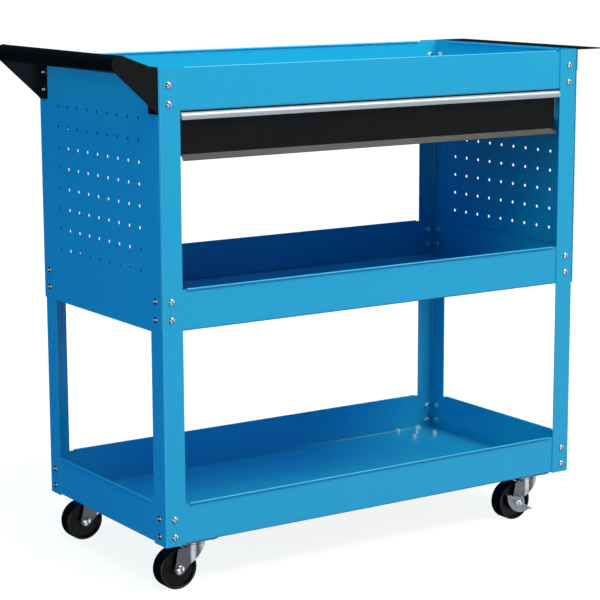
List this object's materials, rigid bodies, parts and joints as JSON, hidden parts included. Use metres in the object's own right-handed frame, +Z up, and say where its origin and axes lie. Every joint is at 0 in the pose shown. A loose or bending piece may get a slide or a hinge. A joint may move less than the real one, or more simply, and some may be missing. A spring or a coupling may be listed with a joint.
{
  "type": "rolling tool cart",
  "caption": "Rolling steel tool cart with pan shelves, pegboard ends, a shallow drawer on telescopic slides, a push handle, a side shelf and braked swivel casters.",
  "frame": {"origin": "on the floor, under the middle of the overall box, which takes in the push handle and the side shelf", "axes": "+X along the front towards the side shelf, +Y from the drawer front to the back, +Z up"},
  "size_m": [0.909, 0.3807, 0.7965],
  "materials": {
    "blue_paint": "glossy light blue powder coat",
    "black_paint": "satin black powder coat",
    "pull_aluminium": "satin, lightly brushed along its length",
    "slide_zinc": "bright zinc plate",
    "caster_zinc": "zinc plate, slightly dull",
    "fastener_steel": "bright zinc plate",
    "wheel_rubber": "matt black"
  },
  "bodies": {
    "chest": {"post_front_left": "blue_paint", "post_front_right": "blue_paint", "post_back_left": "blue_paint", "post_back_right": "blue_paint", "top_tray": "blue_paint", "middle_tray": "blue_paint", "bottom_tray": "blue_paint", "peg_panel_left": "blue_paint", "peg_panel_right": "blue_paint", "handle_tube": "black_paint", "handle_bracket_front": "black_paint", "handle_bracket_back": "black_paint", "side_shelf": "black_paint", "frame_bolts": "fastener_steel", "frame_nuts": "fastener_steel", "slide_hanger_left": "blue_paint", "slide_hanger_right": "blue_paint", "hanger_rivets": "fastener_steel", "slide_outer_left": "slide_zinc", "slide_outer_right": "slide_zinc", "slide_rivets": "fastener_steel", "caster_plate_front_left": "caster_zinc", "caster_plate_front_right": "caster_zinc", "caster_plate_back_left": "caster_zinc", "caster_plate_back_right": "caster_zinc", "caster_bolts": "fastener_steel", "caster_nuts": "fastener_steel", "king_pins": "fastener_steel", "swivel_balls": "fastener_steel"},
    "drawer": {"drawer_box": "black_paint", "drawer_front": "black_paint", "drawer_pull": "pull_aluminium", "pull_screws": "fastener_steel", "slide_inner_left": "slide_zinc", "slide_inner_right": "slide_zinc", "drawer_rivets": "fastener_steel"},
    "slide_middle_left": {"slide_middle_left": "slide_zinc"},
    "slide_middle_right": {"slide_middle_right": "slide_zinc"},
    "swivel_front_left": {"fork_front_left": "caster_zinc", "axle_bolt_front_left": "fastener_steel", "wheel_sleeve_front_left": "caster_zinc", "axle_nut_front_left": "fastener_steel"},
    "wheel_front_left": {"wheel_front_left": "wheel_rubber"},
    "swivel_front_right": {"fork_front_right": "caster_zinc", "axle_bolt_front_right": "fastener_steel", "wheel_sleeve_front_right": "caster_zinc", "axle_nut_front_right": "fastener_steel"},
    "wheel_front_right": {"wheel_front_right": "wheel_rubber"},
    "swivel_back_left": {"fork_back_left": "caster_zinc", "axle_bolt_back_left": "fastener_steel", "wheel_sleeve_back_left": "caster_zinc", "axle_nut_back_left": "fastener_steel"},
    "wheel_back_left": {"wheel_back_left": "wheel_rubber"},
    "swivel_back_right": {"fork_back_right": "caster_zinc", "axle_bolt_back_right": "fastener_steel", "wheel_sleeve_back_right": "caster_zinc", "axle_nut_back_right": "fastener_steel"},
    "wheel_back_right": {"wheel_back_right": "wheel_rubber"},
    "brake_front_right": {"brake_lever_front_right": "caster_zinc"},
    "brake_back_right": {"brake_lever_back_right": "caster_zinc"}
  },
  "joints": [
    {"name": "drawer_slide", "type": "slide", "parent": "chest", "child": "drawer", "axis": [0, -1, 0], "range_m": [0, 0.3]},
    {"name": "slide_middle_left_slide", "type": "slide", "parent": "chest", "child": "slide_middle_left", "axis": [0, -1, 0], "range_m": [0, 0.15]},
    {"name": "slide_middle_right_slide", "type": "slide", "parent": "chest", "child": "slide_middle_right", "axis": [0, -1, 0], "range_m": [0, 0.15]},
    {"name": "swivel_front_left", "type": "hinge", "parent": "chest", "child": "swivel_front_left", "pos_m": [-0.3165, -0.1505, 0.0659], "axis": [0, 0, 1], "continuous": true},
    {"name": "wheel_spin_front_left", "type": "hinge", "parent": "swivel_front_left", "child": "wheel_front_left", "pos_m": [-0.3455, -0.1505, 0.0315], "axis": [0, 1, 0], "continuous": true},
    {"name": "swivel_front_right", "type": "hinge", "parent": "chest", "child": "swivel_front_right", "pos_m": [0.3295, -0.1505, 0.0659], "axis": [0, 0, 1], "continuous": true},
    {"name": "wheel_spin_front_right", "type": "hinge", "parent": "swivel_front_right", "child": "wheel_front_right", "pos_m": [0.3005, -0.1505, 0.0315], "axis": [0, 1, 0], "continuous": true},
    {"name": "swivel_back_left", "type": "hinge", "parent": "chest", "child": "swivel_back_left", "pos_m": [-0.3165, 0.1505, 0.0659], "axis": [0, 0, 1], "continuous": true},
    {"name": "wheel_spin_back_left", "type": "hinge", "parent": "swivel_back_left", "child": "wheel_back_left", "pos_m": [-0.3455, 0.1505, 0.0315], "axis": [0, 1, 0], "continuous": true},
    {"name": "swivel_back_right", "type": "hinge", "parent": "chest", "child": "swivel_back_right", "pos_m": [0.3295, 0.1505, 0.0659], "axis": [0, 0, 1], "continuous": true},
    {"name": "wheel_spin_back_right", "type": "hinge", "parent": "swivel_back_right", "child": "wheel_back_right", "pos_m": [0.3005, 0.1505, 0.0315], "axis": [0, 1, 0], "continuous": true},
    {"name": "brake_front_right", "type": "hinge", "parent": "swivel_front_right", "child": "brake_front_right", "pos_m": [0.3005, -0.16805, 0.0315], "axis": [0, -1, 0], "range_deg": [0, 12]},
    {"name": "brake_back_right", "type": "hinge", "parent": "swivel_back_right", "child": "brake_back_right", "pos_m": [0.3005, 0.13295, 0.0315], "axis": [0, -1, 0], "range_deg": [0, 12]}
  ],
  "couplings": [
    {"joint": "slide_middle_left_slide", "follows": "drawer_slide", "ratio": 0.5},
    {"joint": "slide_middle_right_slide", "follows": "drawer_slide", "ratio": 0.5}
  ]
}
